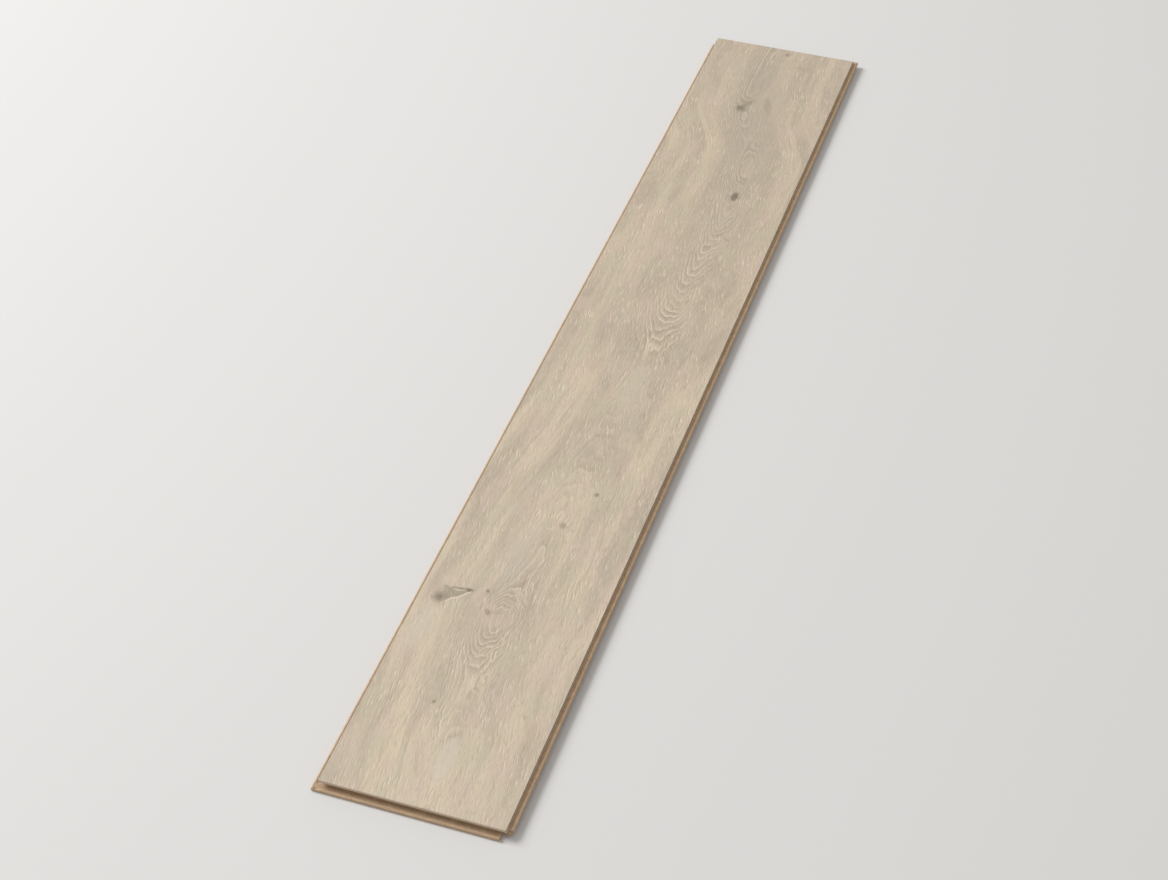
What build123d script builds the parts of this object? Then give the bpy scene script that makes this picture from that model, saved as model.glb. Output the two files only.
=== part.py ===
"""Laminate floor plank with an angling click joint milled on all four edges.

The plank is one pressed board. It lies flat with its decor face up, its length along Y and its
width along X. The origin is at the middle of its underside. The left long edge (-X) and the near
end (-Y) carry the groove with its locking lip, and the right long edge (+X) and the far end (+Y)
carry the tongue. The long edges are milled first and the ends after them, so each cutter runs
right through the corners.

In the sections "out" is the distance outward from the decor edge, and heights are measured up
from the underside. The curved undersides of groove and tongue are struck about the decor edge,
because the next plank pivots about that edge while it is angled in.
"""

from build123d import *

import os
from math import sqrt

# Board
FACE_LENGTH = 1380.0  # decor face, edge to edge
FACE_WIDTH = 193.0
THICKNESS = 12.0
SIDE_BEVEL = 0.6  # bevel along the long decor edges
END_BEVEL = 0.4  # finer bevel across the ends

# Groove edge
UPPER_LIP = 3.5  # board left above the groove
LEAD_IN = 0.5  # chamfer under the upper lip that guides the tongue in
GROOVE_DEPTH = 5.8  # from the decor edge in to the groove's end
GROOVE_END_RADIUS = 1.2
LOWER_LIP = 2.9  # board left below the channel
CHANNEL_REACH = 2.3  # flat bottom of the channel, out from the decor edge
LOCK_RUN = 1.0  # slope of the locking face
LOCK_HEIGHT = 1.2  # ridge above the channel
RIDGE_WIDTH = 0.9
LIP_REACH = 5.4  # locking lip, out from the decor edge
LIP_NOSE_DROP = 0.9  # the nose falls away from the ridge by this much
LIP_FOOT = 0.7  # chamfer under the nose

# Tongue edge
TONGUE_REACH = 5.4  # out from the decor edge
TONGUE_NOSE_RADIUS = 1.3
FIT_GAP = 0.1  # play between the facing surfaces of the joint
RELIEF_GAP = 0.4  # room above the neighbour's locking ridge
LIP_PLAY = 0.5  # room beyond the end of the neighbour's locking lip
RELIEF_RADIUS = 0.8  # inner corner of the relief
FOOT_CHAMFER = 0.5  # lower corner of the board beside the relief

# Heights that follow from the sizes above
GROOVE_TOP = THICKNESS - UPPER_LIP
RIDGE_TOP = LOWER_LIP + LOCK_HEIGHT
TONGUE_TOP = GROOVE_TOP - FIT_GAP
HEEL = LOWER_LIP + FIT_GAP
RELIEF_TOP = RIDGE_TOP + RELIEF_GAP

os.makedirs("parts", exist_ok=True)


def pivot_curve(low_point, out):
    """Height at a distance from the decor edge of the arc about that edge through low_point."""
    return THICKNESS - sqrt((THICKNESS - low_point) ** 2 - out**2)


def groove_edge(face_size, bevel):
    """Draws the groove edge at the low side of a section, from the decor face to the underside."""
    decor_edge = -face_size / 2
    groove_end = decor_edge + GROOVE_DEPTH
    ridge_start = decor_edge - CHANNEL_REACH - LOCK_RUN
    nose = decor_edge - LIP_REACH
    groove_roof = Polyline(
        (decor_edge + bevel, THICKNESS),
        (decor_edge, THICKNESS - bevel),
        (decor_edge, GROOVE_TOP + LEAD_IN),
        (decor_edge + LEAD_IN, GROOVE_TOP),
        (groove_end - GROOVE_END_RADIUS, GROOVE_TOP),
    )
    end_round = RadiusArc(
        groove_roof @ 1, (groove_end, GROOVE_TOP - GROOVE_END_RADIUS), GROOVE_END_RADIUS
    )
    end_wall = Line(end_round @ 1, (groove_end, pivot_curve(LOWER_LIP, GROOVE_DEPTH)))
    channel = RadiusArc(end_wall @ 1, (decor_edge, LOWER_LIP), THICKNESS - LOWER_LIP)
    locking_lip = Polyline(
        channel @ 1,
        (decor_edge - CHANNEL_REACH, LOWER_LIP),
        (ridge_start, RIDGE_TOP),
        (ridge_start - RIDGE_WIDTH, RIDGE_TOP),
        (nose, RIDGE_TOP - LIP_NOSE_DROP),
        (nose, LIP_FOOT),
        (nose + LIP_FOOT, 0),
    )
    return groove_roof @ 0, locking_lip @ 1


def tongue_edge(face_size, bevel):
    """Draws the tongue edge at the high side of a section, from the decor face to the underside."""
    decor_edge = face_size / 2
    tip = decor_edge + TONGUE_REACH
    heel_end = decor_edge - CHANNEL_REACH + FIT_GAP
    relief_end = decor_edge - LIP_REACH - LIP_PLAY
    tongue_roof = Polyline(
        (decor_edge - bevel, THICKNESS),
        (decor_edge, THICKNESS - bevel),
        (decor_edge, TONGUE_TOP),
        (tip - TONGUE_NOSE_RADIUS, TONGUE_TOP),
    )
    nose_round = RadiusArc(
        tongue_roof @ 1, (tip, TONGUE_TOP - TONGUE_NOSE_RADIUS), TONGUE_NOSE_RADIUS
    )
    nose_wall = Line(nose_round @ 1, (tip, pivot_curve(HEEL, TONGUE_REACH)))
    belly = RadiusArc(nose_wall @ 1, (decor_edge, HEEL), THICKNESS - HEEL)
    heel = Polyline(
        belly @ 1,
        (heel_end, HEEL),
        (heel_end - LOCK_RUN, RIDGE_TOP + FIT_GAP),
        (heel_end - LOCK_RUN, RELIEF_TOP),
        (relief_end + RELIEF_RADIUS, RELIEF_TOP),
    )
    relief_round = RadiusArc(
        heel @ 1, (relief_end, RELIEF_TOP - RELIEF_RADIUS), -RELIEF_RADIUS
    )
    foot = Polyline(relief_round @ 1, (relief_end, FOOT_CHAMFER), (relief_end - FOOT_CHAMFER, 0))
    return tongue_roof @ 0, foot @ 1


def board_section(plane, face_size, bevel):
    """Section across the board: groove edge on the low side, tongue edge on the high side."""
    with BuildSketch(plane) as section:
        with BuildLine():
            groove_top, groove_foot = groove_edge(face_size, bevel)
            tongue_top, tongue_foot = tongue_edge(face_size, bevel)
            Line(groove_top, tongue_top)
            Line(groove_foot, tongue_foot)
        make_face()
    return section.sketch


with BuildPart() as plank:
    # Both long edges, milled over the full length and a little beyond it
    overrun = LIP_REACH + TONGUE_REACH
    extrude(
        board_section(Plane.XZ, FACE_WIDTH, SIDE_BEVEL),
        amount=FACE_LENGTH / 2 + overrun,
        both=True,
    )
    # Both ends, milled across the full width
    extrude(
        board_section(Plane.YZ, FACE_LENGTH, END_BEVEL),
        amount=FACE_WIDTH / 2 + overrun,
        both=True,
        mode=Mode.INTERSECT,
    )
    # Two corners leave a chip of locking ridge with nothing to hold it, which falls away
    for loose_chip in plank.solids().sort_by(SortBy.VOLUME)[:-1]:
        add(loose_chip, mode=Mode.SUBTRACT)

plank.part.label = "laminate_plank"
export_step(plank.part, "parts/laminate_plank.step")
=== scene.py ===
from math import cos, radians, sin

import bmesh
import bpy
from mathutils import Matrix, Vector

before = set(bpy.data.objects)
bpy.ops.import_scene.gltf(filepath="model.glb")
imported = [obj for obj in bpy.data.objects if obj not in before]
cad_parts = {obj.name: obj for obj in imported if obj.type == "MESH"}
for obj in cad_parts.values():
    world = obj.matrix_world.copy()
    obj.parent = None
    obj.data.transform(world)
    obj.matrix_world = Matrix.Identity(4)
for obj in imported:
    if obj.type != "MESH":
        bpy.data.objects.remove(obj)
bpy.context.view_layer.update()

# Laminate floor plank, lying decor face up with its groove end towards the camera.
# The finish is laid out in millimetres: "across" is X, "along" is Y, towards the far end, and
# "height" is measured up from the underside. Floor, camera and lamp are in metres.

MM_PER_METRE = 1000.0
THICKNESS = 12.0
FACE_WIDTH = 193.0
SIDE_BEVEL = 0.6
PRINT_FOOT = THICKNESS - SIDE_BEVEL
BEVEL_START = FACE_WIDTH / 2 - SIDE_BEVEL

# Where one layer turns into the next: from, to
BEVEL_FADE = (BEVEL_START, BEVEL_START + 0.05)  # out from the plank's middle line
PRINT_FADE = (PRINT_FOOT - 0.07, PRINT_FOOT - 0.03)  # heights
# painted light: from here up, the board above the groove is painted lighter and greyer
UPPER_BOARD_FADE = (8.42, 8.90)
BACKING_FADE = (0.24, 0.20)
DENSE_SKIN_FADE = (5.3, 5.9)  # up or down from the middle of the thickness

# Printed oak
PALE_OAK = (0.632, 0.540, 0.418)
WARM_OAK = (0.662, 0.556, 0.410)
ROSE_OAK = (0.610, 0.490, 0.408)
GREEN_OAK = (0.545, 0.498, 0.372)
GREY_OAK = (0.470, 0.405, 0.322)
SMOKE_OAK = (0.430, 0.375, 0.300)
MIST_GREY = (0.530, 0.488, 0.408)
CRACK_GREY = (0.320, 0.292, 0.208)
PALE_PATCH = (0.620, 0.555, 0.465)
PALE_STROKE_AND_HIGHLIGHT = (0.760, 0.665, 0.530)
OLIVE_BROWN = (0.330, 0.290, 0.210)
RING_AND_SHADE_BROWN = (0.335, 0.265, 0.190)
PORE_AND_SHADE_BROWN = (0.300, 0.235, 0.165)
KNOT_BROWN = (0.150, 0.118, 0.082)
BEVEL_BROWN = (0.125, 0.085, 0.050)

# Fibreboard and backing paper
BOARD_TAN = (0.540, 0.392, 0.258)
BOARD_DARK = (0.262, 0.168, 0.092)
BOARD_FLECK = (0.660, 0.520, 0.370)
# Painted light: lighter, greyer board for the upper lip above the groove
BOARD_LIT_GREY = (0.700, 0.575, 0.440)
BOARD_LIT_GREY_DARK = (0.420, 0.322, 0.228)
BACKING_KRAFT = (0.470, 0.385, 0.285)
BACKING_DARK = (0.405, 0.328, 0.238)

# Sheen, and the depth of the relief in millimetres
PRINT_ROUGHNESS = 0.50
PRESSED_ROUGHNESS = 0.12  # added where the brushed grain is pressed in
BOARD_ROUGHNESS = 0.84
SPECULAR = 0.35
PRESSED_DEPTH = 0.12
FIBRE_DEPTH = 0.16
PAPER_DEPTH = 0.02

# Knots, shades and marks, from the far end to the near one:
# middle across and along, half width, half length, turn in degrees
MARKS = {
    "far_spot": (7.0, 678.0, 3.4, 4.2, 0.0),
    "smudge": (38.0, 650.0, 13.0, 4.0, -6.0),
    "moss_spot": (-25.5, 611.0, 4.5, 8.0, 8.0),
    "round_arm": (-12.0, 548.0, 2.6, 11.0, -34.0),
    "leaf": (14.0, 547.0, 5.4, 20.0, 16.0),
    "round_halo": (-17.5, 541.0, 8.0, 18.0, -12.0),
    "round_knot": (-20.0, 533.0, 5.4, 5.6, 0.0),
    "far_shade": (2.0, 530.0, 36.0, 180.0, 9.0),
    "eye_patch": (27.0, 404.0, 7.0, 22.0, 0.0),
    "eye_end": (28.0, 376.0, 5.0, 5.5, 0.0),
    "long_knot": (27.0, 339.0, 4.2, 9.0, 3.0),
    "long_shade": (23.0, 262.0, 24.0, 95.0, 0.0),
    "flank_tail": (34.0, 262.0, 2.2, 12.0, -38.0),
    "flank_mark": (42.0, 251.0, 2.4, 6.0, 64.0),
    "middle_mist": (19.0, -62.0, 13.0, 48.0, 4.0),
    "small_knot": (33.5, -232.0, 2.6, 3.2, 0.0),
    "shade_knot": (14.0, -289.0, 3.6, 4.6, 20.0),
    "crack_mist": (-14.0, -352.0, 12.0, 48.0, -3.0),
    "pin_knot": (-28.5, -404.5, 1.7, 2.4, 25.0),
    "crack_tip": (-47.0, -411.0, 3.4, 2.0, 20.0),
    "crack_halo": (-75.0, -426.0, 10.0, 16.0, 12.0),
    "crack_foot": (-73.5, -428.0, 6.5, 7.0, -20.0),
    "eye_tail": (-11.0, -431.0, 8.0, 2.4, -8.0),
    "eye_knot": (-18.5, -433.0, 2.6, 3.6, 30.0),
    "near_eye": (-5.0, -440.0, 16.0, 14.0, 0.0),
    "foot_mist": (-78.0, -470.0, 8.0, 34.0, -5.0),
    "dot_tail": (-24.0, -546.0, 3.0, 14.0, 14.0),
    "near_shade": (9.0, -560.0, 9.0, 22.0, 12.0),
    "dot_knot": (-27.0, -563.5, 1.7, 2.2, 0.0),
    "pale_patch": (12.0, -630.0, 8.5, 30.0, 0.0),
}

# How the marks are painted, in this order:
# mark, strength, paint, where it is still full and where it ends, in the mark's own half sizes
STAINS = [
    ("far_shade", 0.52, SMOKE_OAK, 0.35, 1.5),
    ("long_shade", 0.20, SMOKE_OAK, 0.35, 1.5),
    ("pale_patch", 0.55, PALE_PATCH, 0.8, 1.3),
    ("crack_mist", 0.34, MIST_GREY, 0.35, 1.5),
    ("foot_mist", 0.50, PALE_PATCH, 0.35, 1.6),
    ("middle_mist", 0.26, MIST_GREY, 0.35, 1.6),
    ("near_shade", 0.34, SMOKE_OAK, 0.35, 1.6),
    ("moss_spot", 0.26, OLIVE_BROWN, 0.35, 1.7),
    ("flank_mark", 0.40, RING_AND_SHADE_BROWN, 0.35, 1.6),
    ("flank_tail", 0.20, RING_AND_SHADE_BROWN, 0.35, 1.7),
    ("round_halo", 0.42, OLIVE_BROWN, 0.35, 1.7),
    ("round_arm", 0.24, KNOT_BROWN, 0.2, 1.9),
    ("round_knot", 0.66, KNOT_BROWN, 0.1, 1.9),
    ("far_spot", 0.42, KNOT_BROWN, 0.35, 1.6),
    ("smudge", 0.22, RING_AND_SHADE_BROWN, 0.35, 1.6),
    ("leaf", 0.34, RING_AND_SHADE_BROWN, 0.7, 1.15),
    ("eye_patch", 0.30, ROSE_OAK, 0.7, 1.3),
    ("eye_end", 0.38, OLIVE_BROWN, 0.6, 1.3),
    ("long_knot", 0.74, KNOT_BROWN, 0.6, 1.35),
    ("small_knot", 0.52, KNOT_BROWN, 0.35, 1.6),
    ("shade_knot", 0.42, KNOT_BROWN, 0.35, 1.6),
    ("near_eye", 0.48, ROSE_OAK, 0.7, 1.25),
    ("near_eye", 0.07, RING_AND_SHADE_BROWN, 0.7, 1.25),
    ("eye_tail", 0.26, RING_AND_SHADE_BROWN, 0.35, 1.6),
    ("eye_knot", 0.44, KNOT_BROWN, 0.35, 1.8),
    ("pin_knot", 0.58, KNOT_BROWN, 0.35, 1.5),
    ("dot_tail", 0.20, RING_AND_SHADE_BROWN, 0.35, 1.6),
    ("dot_knot", 0.55, KNOT_BROWN, 0.35, 1.6),
    ("crack_halo", 0.36, OLIVE_BROWN, 0.2, 1.5),
]
CRACK_END_STAINS = [
    ("crack_tip", 0.60, KNOT_BROWN, 0.35, 1.6),
    ("crack_foot", 0.70, KNOT_BROWN, 0.0, 1.6),
]

# The crack's tip, and the way that it opens from there to its foot
CRACK_TIP = (-45.0, -410.0)
CRACK_TURN = 202.0

# The board in the print is cut from a log whose heart runs some way under the face.
# Each value starts at the far end and changes on the way by (from, to, change) steps along it.
RING_WIDTH_START = 2.9
RING_WIDTH_STEPS = [(440, 330, -1.0)]
HEART_START = -16.0  # across, where the heart runs
HEART_STEPS = [
    (545, 415, 42.0),
    (330, 20, -9.0),
    (20, -320, -14.0),
    (-330, -440, -7.0),
    (-480, -600, 8.0),
    (-600, -700, 8.0),
]
DEPTH_START = 7.0  # of the heart under the face
DEPTH_STEPS = [
    (545, 468, 9.0),
    (458, 402, -8.0),
    (400, 352, 6.0),
    (345, 150, 20.0),
    (185, 5, 19.0),
    (0, -390, -22.0),
    (-384, -434, -10.0),
    (-436, -528, 13.0),
    (-545, -600, -4.0),
    (-605, -690, 6.0),
]
SHOW_START = 0.95  # how plainly the rings show over the heart
SHOW_STEPS = [
    (470, 420, 0.10),
    (345, 300, -0.23),
    (330, 240, 0.20),
    (50, -12, -0.72),
    (-270, -330, 0.60),
    (-515, -560, -0.60),
]
HEART_REACH = 33.0  # how far to each side of the heart they show

# Rings bulge round some marks, and draw in round the pale patch:
# mark, how far out in its own half sizes, by how much
SWELLS = [
    ("round_halo", 2.2, 6.0),
    ("long_knot", 3.2, 4.5),
    ("crack_halo", 2.2, 5.0),
    ("shade_knot", 4.0, 2.0),
    ("leaf", 3.0, 2.0),
    ("pale_patch", 2.0, -6.0),
]

# Brushed grain
BRUSH_SLANT = 0.14  # across for each millimetre along
TICK_WIDTH = 2.3
TICK_LENGTH = 17.0
TICK_LIP = 0.40  # from a tick's painted highlight to its painted shade, in tick widths
HAIR_WIDTH = 0.55
HAIR_LENGTH = 9.0
PAINTED_SHADE_FROM, PAINTED_SHADE_TO = -690.0, 560.0  # painted shade: the plank is painted a little darker towards the far end

# Studio, in metres
FLOOR_PALE = (0.685, 0.686, 0.686)
FLOOR_ROUGHNESS = 0.9
FLOOR_HALF_SIZE = 60.0
FLOOR_HEIGHT = -0.0002
CAMERA_PLACE = Vector((0.5869, -1.8866, 1.6904))
CAMERA_PAN = radians(-18.947)  # off the plank's length
CAMERA_TILT = radians(42.481)
CAMERA_ROLL = radians(-0.418)
CAMERA_LENS = 68.6
CAMERA_SENSOR = 36.0
LAMP_PLACE = Vector((-5.3, 0.3, 4.4))
LAMP_SIZE = 3.4
LAMP_POWER = 408.0
ROOM_LIGHT = (1.0, 0.96, 0.915, 1.0)
ROOM_STRENGTH = 0.55


class Field:
    """A number or vector that varies over the plank: one socket of a finish's nodes."""

    def __init__(self, finish, socket):
        self.finish = finish
        self.socket = socket

    def maths(self, operation, *terms):
        return self.finish.node("Math", {"operation": operation}, dict(enumerate(terms)))

    def __add__(self, other):
        return self.maths("ADD", self, other)

    def __sub__(self, other):
        return self.maths("SUBTRACT", self, other)

    def __rsub__(self, other):
        return self.maths("SUBTRACT", other, self)

    def __mul__(self, other):
        return self.maths("MULTIPLY", self, other)

    def __truediv__(self, other):
        return self.maths("DIVIDE", self, other)

    def __rtruediv__(self, other):
        return self.maths("DIVIDE", other, self)

    def __pow__(self, other):
        return self.maths("POWER", self, other)

    __radd__ = __add__
    __rmul__ = __mul__

    def root(self):
        return self.maths("SQRT", self)

    def size(self):
        return self.maths("ABSOLUTE", self)

    def fraction(self):
        return self.maths("FRACT", self)

    def ease(self, start, end, low=0.0, high=1.0):
        """Eases from low at start to high at end."""
        return self.finish.node(
            "MapRange",
            {"interpolation_type": "SMOOTHSTEP"},
            {"Value": self, 1: start, 2: end, 3: low, 4: high},
        )


class Finish:
    """One surface finish, built up node by node."""

    def __init__(self, name):
        self.material = bpy.data.materials.new(name)
        self.material.use_nodes = True
        self.tree = self.material.node_tree
        self.shader = self.tree.nodes["Principled BSDF"]

    def node(self, kind, settings=None, values=None, output=0):
        """Adds a node, with its settings set before its values and links."""
        made = self.tree.nodes.new("ShaderNode" + kind)
        for name, setting in (settings or {}).items():
            setattr(made, name, setting)
        for name, value in (values or {}).items():
            self.feed(made.inputs[name], value)
        return Field(self, made.outputs[output])

    def feed(self, socket, value):
        """Links a field to a socket, or sets a number or colour on it."""
        if isinstance(value, Field):
            self.tree.links.new(value.socket, socket)
        elif isinstance(value, tuple) and socket.type == "RGBA":
            socket.default_value = (*value, 1.0)
        else:
            socket.default_value = value

    def dress(self, name, value):
        self.feed(self.shader.inputs[name], value)

    def vector(self, x, y, z=0.0):
        return self.node("CombineXYZ", values={"X": x, "Y": y, "Z": z})

    def noise(self, where, detail=2.0, roughness=0.5):
        """Soft noise between about 0.2 and 0.8, one lump for each unit of where."""
        return self.node(
            "TexNoise",
            {"noise_dimensions": "3D", "normalize": True},
            {"Vector": where, "Scale": 1.0, "Detail": detail, "Roughness": roughness},
        )

    def blend(self, share, first, second):
        """first where share is 0, second where it is 1."""
        values = {0: share, 6: first, 7: second}
        return self.node("Mix", {"data_type": "RGBA"}, values, output=2)


class PlankFinish(Finish):
    """The plank's one finish: decor print above, fibreboard on the milled edges, backing below."""

    def __init__(self, name):
        super().__init__(name)
        place = self.node("TexCoord", output=3)
        self.across = self.axis(place, 0) * MM_PER_METRE
        self.along = self.axis(place, 1) * MM_PER_METRE
        self.height = self.axis(place, 2) * MM_PER_METRE

        # What bends the rings and frays the marks, from the slowest to the finest
        self.sway = self.noise(self.stretched(60.0, 170.0, shift=3.7), detail=1.5)
        self.wiggle = self.noise(self.stretched(12.0, 42.0, shift=21.0), detail=2.5)
        self.fray = self.noise(self.stretched(3.2, 5.5, shift=8.1))
        self.ragged = self.vector(
            self.across + (self.fray - 0.5) * 4.5, self.along + (self.wiggle - 0.5) * 9.0
        )

    def axis(self, place, number):
        return self.node("SeparateXYZ", values={0: place}, output=number)

    def stretched(self, across, along, height=1.0, shift=0.0):
        """Coordinates for noise whose lumps are about this many millimetres each way."""
        x = self.across / across + shift
        y = self.along / along
        return self.vector(x, y, self.height / height)

    def stroked(self, side, width, length, layer):
        """Coordinates for noise in strokes of this width and length, laid side by side."""
        return self.vector(side / width, self.along / length, layer)

    def turned(self, across, along, turn, width=1.0, length=1.0):
        """Place on the frayed print, from a turned middle, in these units."""
        return self.node(
            "Mapping",
            {"vector_type": "TEXTURE"},
            {
                "Vector": self.ragged,
                "Location": (across, along, 0.0),
                "Rotation": (0.0, 0.0, radians(turn)),
                "Scale": (width, length, 1.0),
            },
        )

    def mark(self, across, along, width, length, turn):
        """Distance from a mark's middle, counted in its own half sizes, with a ragged edge."""
        spot = self.turned(across, along, turn, width, length)
        return self.node("VectorMath", {"operation": "LENGTH"}, {0: spot}, output=1)

    def stain(self, colour, marks, stains):
        """Paints the stains over colour, one after another."""
        for name, strength, paint, full, end in stains:
            colour = self.blend(marks[name].ease(full, end, strength, 0.0), colour, paint)
        return colour


def climb(along, start, steps):
    """A value that starts at the far end and changes by each (from, to, change) step on the way."""
    total = start
    for high, low, change in steps:
        total = along.ease(low, high, change, 0.0) + total
    return total


def growth_rings(f, marks):
    """Distance from the pith, how plainly its rings show, and their dark and pale lines."""
    heart = climb(f.along, HEART_START, HEART_STEPS)
    depth = climb(f.along, DEPTH_START, DEPTH_STEPS)
    from_heart = f.across - heart + (f.sway - 0.5) * 14.0 + (f.wiggle - 0.5) * 7.0
    from_pith = (from_heart ** 2.0 + depth ** 2.0).root() + (f.wiggle - 0.5) * 5.0
    for name, reach, rise in SWELLS:
        from_pith = marks[name].ease(0.0, reach, rise, 0.0) + from_pith

    near_heart = 1.0 / (1.0 + (from_heart / HEART_REACH) ** 2.0)
    patchy = f.noise(f.stretched(20.0, 90.0, shift=5.5), detail=1.0).ease(0.34, 0.60, 0.45, 1.0)
    show = climb(f.along, SHOW_START, SHOW_STEPS) * near_heart ** 2.0 * patchy

    # A ring starts dark, fades through its year and ends pale, and some years are plainer
    rings = from_pith / climb(f.along, RING_WIDTH_START, RING_WIDTH_STEPS)
    year = rings.fraction()
    number = rings - year
    plain = f.noise(f.vector(number * 3.7, f.along / 240.0, 1.0)).ease(0.36, 0.62, 0.35, 1.0)
    growth = year.ease(0.0, 0.12) * (1.0 - year) ** 2.4
    dark_line = growth * plain * (show * 0.95 + 0.10)
    pale_line = year.ease(0.62, 0.94) * plain * show * 0.80
    return from_pith, show, dark_line, pale_line


def ground(f, from_pith, show):
    """The print's ground: clouds, then bands and streaks that run along the rings, and painted
    shade towards the far end.
    """
    cloud = f.noise(f.stretched(34.0, 130.0, shift=12.0), detail=2.5)
    blush = f.noise(f.stretched(20.0, 58.0, shift=33.0), detail=2.5)
    tinge = f.noise(f.stretched(24.0, 64.0, shift=47.0), detail=2.5)
    broad = f.noise(f.stroked(from_pith, 26.0, 260.0, 0.0), detail=1.5)
    band = f.noise(f.stroked(from_pith, 9.0, 150.0, 11.0))
    streak = f.noise(f.stroked(from_pith, 3.4, 55.0, 4.0), detail=3.0, roughness=0.6)

    colour = f.blend(cloud.ease(0.46, 0.70, 0.0, 0.80), PALE_OAK, WARM_OAK)
    colour = f.blend(broad.ease(0.60, 0.40, 0.0, 0.88), colour, GREY_OAK)
    colour = f.blend(band.ease(0.44, 0.64, 0.0, 0.50), colour, GREY_OAK)
    colour = f.blend(blush.ease(0.46, 0.64, 0.0, 0.62), colour, ROSE_OAK)
    colour = f.blend(tinge.ease(0.48, 0.66, 0.0, 0.62), colour, GREEN_OAK)
    colour = f.blend(show * cloud.ease(0.66, 0.38, 0.10, 0.60), colour, SMOKE_OAK)
    colour = f.blend(streak.ease(0.48, 0.76, 0.0, 0.34), colour, RING_AND_SHADE_BROWN)
    # Painted shade: the whole ground is blended darker towards the far end
    return f.blend(f.along.ease(PAINTED_SHADE_FROM, PAINTED_SHADE_TO, 0.0, 0.14), colour, RING_AND_SHADE_BROWN)


def open_crack(f, colour):
    """The open crack: a wedge that widens from its tip, with dark and pale edges."""
    place = f.turned(*CRACK_TIP, CRACK_TURN)
    down, aside = f.axis(place, 0), f.axis(place, 1)
    half = down * 0.38 + 0.8 + (f.fray - 0.5) * 4.0
    inside = down.ease(-0.5, 1.5) * down.ease(31.0, 25.0)
    torn = f.fray.ease(0.25, 0.60, 0.55, 1.0)
    wedge = (aside.size() / half).ease(1.12, 0.80) * inside * torn
    sliver = (aside + half - 3.0).size().ease(1.4, 0.4)
    sliver = sliver * down.ease(6.0, 9.0) * down.ease(20.0, 16.0)
    far_line = (aside + half).size().ease(1.6, 0.4) * inside * down.ease(22.0, 10.0)
    near_rim = (aside - half - 0.9).size().ease(1.3, 0.5) * inside
    colour = f.blend(wedge * 0.85, colour, CRACK_GREY)
    colour = f.blend(near_rim * 0.60 + sliver * 0.55, colour, PALE_STROKE_AND_HIGHLIGHT)
    return f.blend(far_line * 0.45, colour, KNOT_BROWN)


def oak_print(f):
    """Printed oak: its colour, with painted highlight and shade on the brushed ticks and painted
    shade towards the far end, and how deep its brushed grain is pressed in.
    """
    marks = {name: f.mark(*place) for name, place in MARKS.items()}
    from_pith, show, dark_line, pale_line = growth_rings(f, marks)
    pore = f.noise(f.stroked(from_pith, 0.9, 9.0, 9.0)).ease(0.56, 0.66)

    # The brush leaves fine hairs and short ticks, both on the slant
    slant = f.across + f.along * BRUSH_SLANT + f.sway * 12.0 + f.wiggle * 5.0
    hair = f.noise(f.stroked(slant, HAIR_WIDTH, HAIR_LENGTH, 7.0), detail=3.0, roughness=0.65)

    # A tick has a painted highlight on its near lip and painted shade on the far one
    def ticks(side):
        where = f.vector(side, f.along / TICK_LENGTH, 2.0)
        return f.noise(where, detail=3.0, roughness=0.62).ease(0.50, 0.68)

    brushed = f.noise(f.stretched(26.0, 60.0, shift=61.0), detail=1.5).ease(0.36, 0.60, 0.40, 1.0)
    tick_lit_lip = ticks(slant / TICK_WIDTH) * brushed
    tick_shaded_lip = ticks(slant / TICK_WIDTH + TICK_LIP) * (1.0 - tick_lit_lip) * brushed

    colour = ground(f, from_pith, show)
    colour = f.blend(pale_line, colour, PALE_STROKE_AND_HIGHLIGHT)
    colour = f.blend(dark_line, colour, RING_AND_SHADE_BROWN)
    colour = f.blend(pore * 0.20, colour, PORE_AND_SHADE_BROWN)
    colour = f.blend(hair.ease(0.50, 0.72, 0.0, 0.22), colour, PORE_AND_SHADE_BROWN)
    colour = f.blend(hair.ease(0.48, 0.30, 0.0, 0.30), colour, PALE_STROKE_AND_HIGHLIGHT)
    # Painted highlight and painted shade on the two lips of each tick
    colour = f.blend(tick_lit_lip * 0.62, colour, PALE_STROKE_AND_HIGHLIGHT)
    colour = f.blend(tick_shaded_lip * 0.44, colour, PORE_AND_SHADE_BROWN)
    colour = f.stain(colour, marks, STAINS)
    colour = open_crack(f, colour)
    colour = f.stain(colour, marks, CRACK_END_STAINS)

    pressed = dark_line * 1.4 + pore * 0.35 + tick_shaded_lip * 0.20 - tick_lit_lip * 0.08
    pressed = pressed + hair.ease(0.50, 0.66) * 0.36
    return colour, pressed


def fibreboard(f):
    """Milled high-density fibreboard: its colour, with painted light on the board above the groove,
    and its fine fibre relief.
    """
    fibre = f.noise(f.stretched(1.5, 1.5, height=0.45), detail=3.0, roughness=0.65)
    fleck = f.noise(f.stretched(0.8, 0.8, height=0.3, shift=7.0), detail=1.0)
    bundle = f.noise(f.stretched(9.0, 9.0, height=1.6, shift=2.0))
    from_middle = (f.height - THICKNESS / 2.0).size()
    fibre_share = fibre.ease(0.32, 0.68)
    colour = f.blend(fibre_share, BOARD_DARK, BOARD_TAN)
    colour = f.blend(bundle.ease(0.40, 0.75, 0.55, 0.0), BOARD_TAN, colour)
    colour = f.blend(from_middle.ease(*DENSE_SKIN_FADE, 0.0, 0.30), colour, BOARD_DARK)
    # Painted light: the board above the groove is painted lighter and greyer, standing in for light
    # on the upper lip over the shaded groove
    upper_board_painted_light = f.blend(fibre_share, BOARD_LIT_GREY_DARK, BOARD_LIT_GREY)
    colour = f.blend(f.height.ease(*UPPER_BOARD_FADE, 0.0, 0.90), colour, upper_board_painted_light)
    colour = f.blend(fleck.ease(0.66, 0.74, 0.0, 0.5), colour, BOARD_FLECK)
    colour = f.blend(fleck.ease(0.34, 0.27, 0.0, 0.5), colour, BOARD_DARK)
    return colour, fibre


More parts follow.
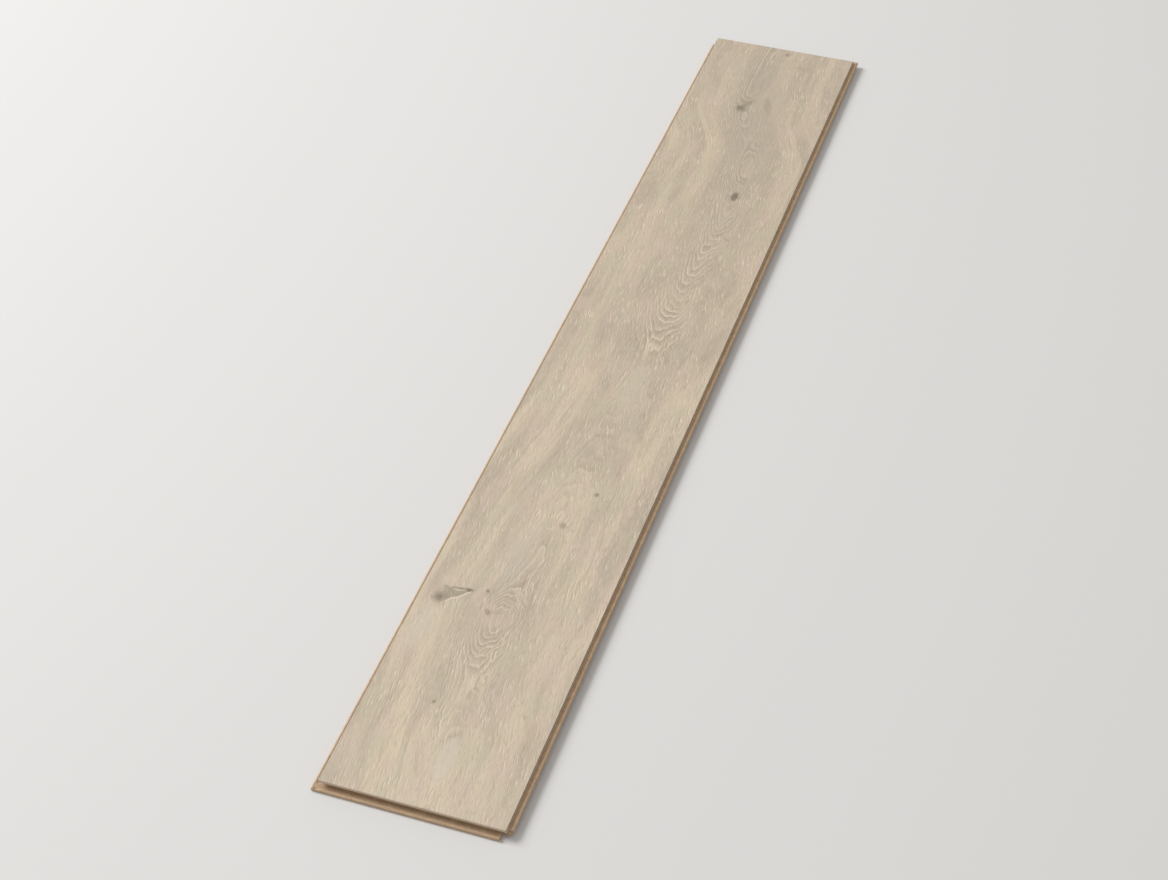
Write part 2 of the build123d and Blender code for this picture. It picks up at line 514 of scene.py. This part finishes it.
def plank_finish():
    f = PlankFinish("oak_laminate_plank")
    decor, pressed = oak_print(f)
    board, fibre = fibreboard(f)
    kraft = f.noise(f.stretched(1.3, 6.5, shift=40.0), detail=4.0, roughness=0.6)
    backing = f.blend(kraft.ease(0.35, 0.70), BACKING_KRAFT, BACKING_DARK)

    # The bevel along each long edge is painted; the ends keep their decor to the arris
    in_bevel = f.across.size().ease(*BEVEL_FADE)
    decor = f.blend(in_bevel * 0.85, decor, BEVEL_BROWN)

    above = f.height.ease(*PRINT_FADE)
    below = f.height.ease(*BACKING_FADE)
    on_edge = (1.0 - above) * (1.0 - below)
    f.dress("Base Color", f.blend(above, f.blend(below, board, backing), decor))

    worn = PRINT_ROUGHNESS + pressed * PRESSED_ROUGHNESS
    f.dress("Roughness", above * worn + (1.0 - above) * BOARD_ROUGHNESS)
    f.dress("Specular IOR Level", SPECULAR)

    relief = (0.0 - pressed) * above * PRESSED_DEPTH
    relief = relief + fibre * on_edge * FIBRE_DEPTH + kraft * below * PAPER_DEPTH
    depth = {"Strength": 1.0, "Distance": 1.0 / MM_PER_METRE, "Height": relief}
    f.dress("Normal", f.node("Bump", values=depth))
    return f.material


def put(name, data):
    """Puts a new object of the studio into the scene."""
    placed = bpy.data.objects.new(name, data)
    bpy.context.scene.collection.objects.link(placed)
    return placed


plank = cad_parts["laminate_plank"]
finish = plank_finish()
for slot in plank.material_slots:
    slot.material = finish

# Floor
floor_mesh = bpy.data.meshes.new("studio_floor")
floor_form = bmesh.new()
bmesh.ops.create_grid(floor_form, x_segments=1, y_segments=1, size=FLOOR_HALF_SIZE)
floor_form.to_mesh(floor_mesh)
floor_form.free()
floor_finish = Finish("pale_floor")
floor_finish.dress("Base Color", FLOOR_PALE)
floor_finish.dress("Roughness", FLOOR_ROUGHNESS)
floor_mesh.materials.append(floor_finish.material)
floor = put("studio_floor", floor_mesh)
floor.location.z = FLOOR_HEIGHT

# Camera, which stands where the photograph was taken from
ahead = Vector(
    (sin(CAMERA_PAN) * cos(CAMERA_TILT), cos(CAMERA_PAN) * cos(CAMERA_TILT), -sin(CAMERA_TILT))
)
level = Vector((cos(CAMERA_PAN), -sin(CAMERA_PAN), 0.0))
upward = level.cross(ahead)
right = cos(CAMERA_ROLL) * level + sin(CAMERA_ROLL) * upward
top = cos(CAMERA_ROLL) * upward - sin(CAMERA_ROLL) * level
camera = put("camera", bpy.data.cameras.new("camera"))
camera.data.lens = CAMERA_LENS
camera.data.sensor_width = CAMERA_SENSOR
facing = Matrix((right, top, -ahead)).transposed().to_4x4()
camera.matrix_world = Matrix.Translation(CAMERA_PLACE) @ facing
bpy.context.scene.camera = camera

# Light: one large soft lamp to the left, aimed at the plank, and the room around it
lamp = bpy.data.lights.new("window_light", "AREA")
lamp.shape = "DISK"
lamp.size = LAMP_SIZE
lamp.energy = LAMP_POWER
window = put("window_light", lamp)
window.location = LAMP_PLACE
window.rotation_euler = (-LAMP_PLACE).to_track_quat("-Z", "Y").to_euler()

world = bpy.data.worlds.new("studio")
world.use_nodes = True
room = world.node_tree.nodes["Background"]
room.inputs["Color"].default_value = ROOM_LIGHT
room.inputs["Strength"].default_value = ROOM_STRENGTH
bpy.context.scene.world = world
bpy.context.scene.view_settings.view_transform = "Standard"
